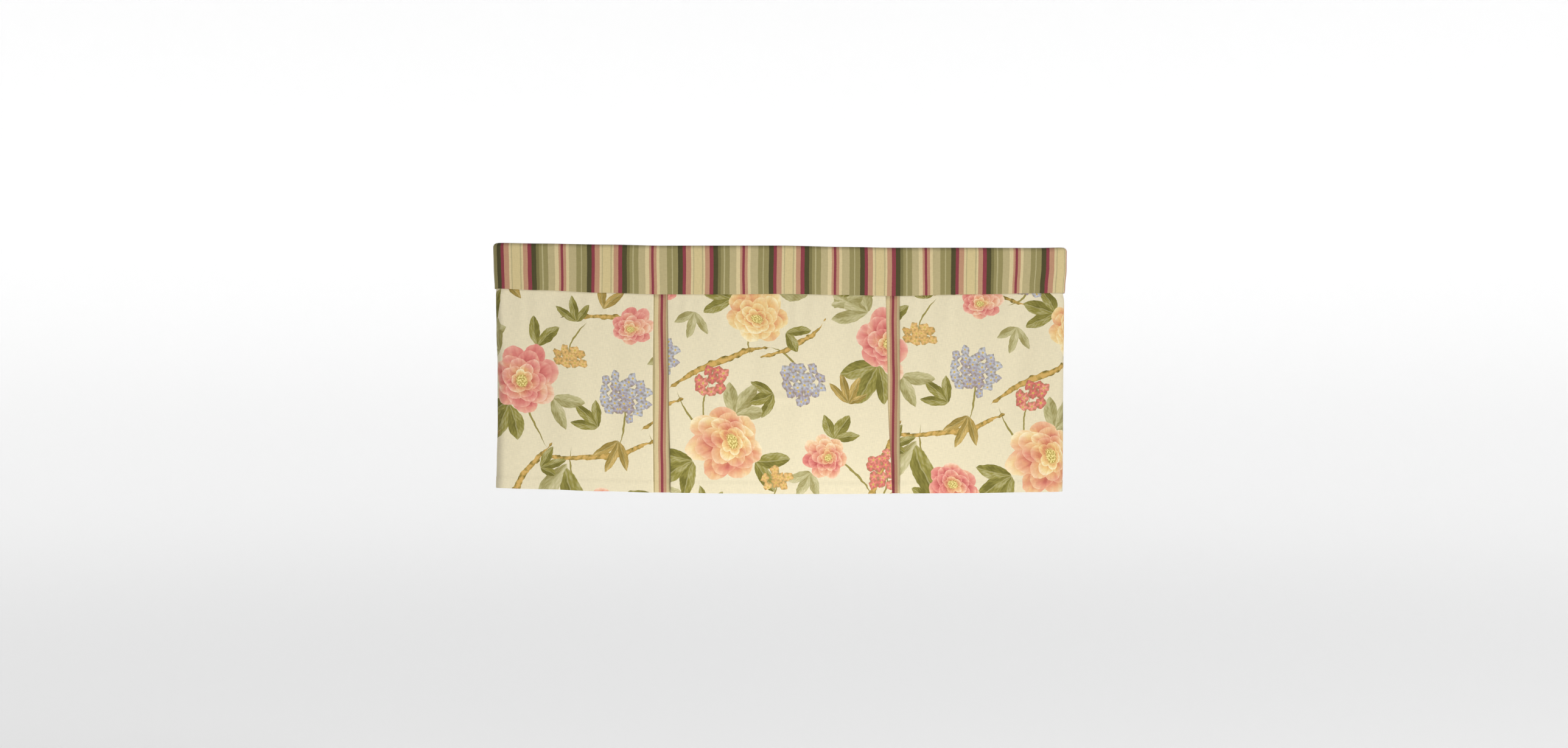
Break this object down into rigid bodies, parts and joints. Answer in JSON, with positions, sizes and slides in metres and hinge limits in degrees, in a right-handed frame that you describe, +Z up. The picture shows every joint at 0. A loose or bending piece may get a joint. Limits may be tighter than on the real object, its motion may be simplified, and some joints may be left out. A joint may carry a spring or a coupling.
{
  "type": "window valance",
  "caption": "Tailored cloth window valance with a striped rod-pocket heading, floral panels, open pleats closed by striped inserts, and side returns.",
  "frame": {"origin": "middle of the heading's top edge, on the plane of its front face", "axes": "+X to the viewer's right along the window, +Y back to the wall, +Z up"},
  "size_m": [1.0759, 0.1032, 0.4695],
  "materials": {
    "striped_cloth": "matt striped cotton in olive, cream, pink and crimson",
    "floral_cloth": "matt printed cotton, flowers and leaves on a cream ground",
    "pleat_cloth": "matt striped cotton, running upright behind the pleats"
  },
  "bodies": {
    "root": {"heading": "striped_cloth", "panel_left": "floral_cloth", "panel_centre": "floral_cloth", "panel_right": "floral_cloth", "insert_left": "pleat_cloth", "insert_right": "pleat_cloth"}
  },
  "joints": []
}
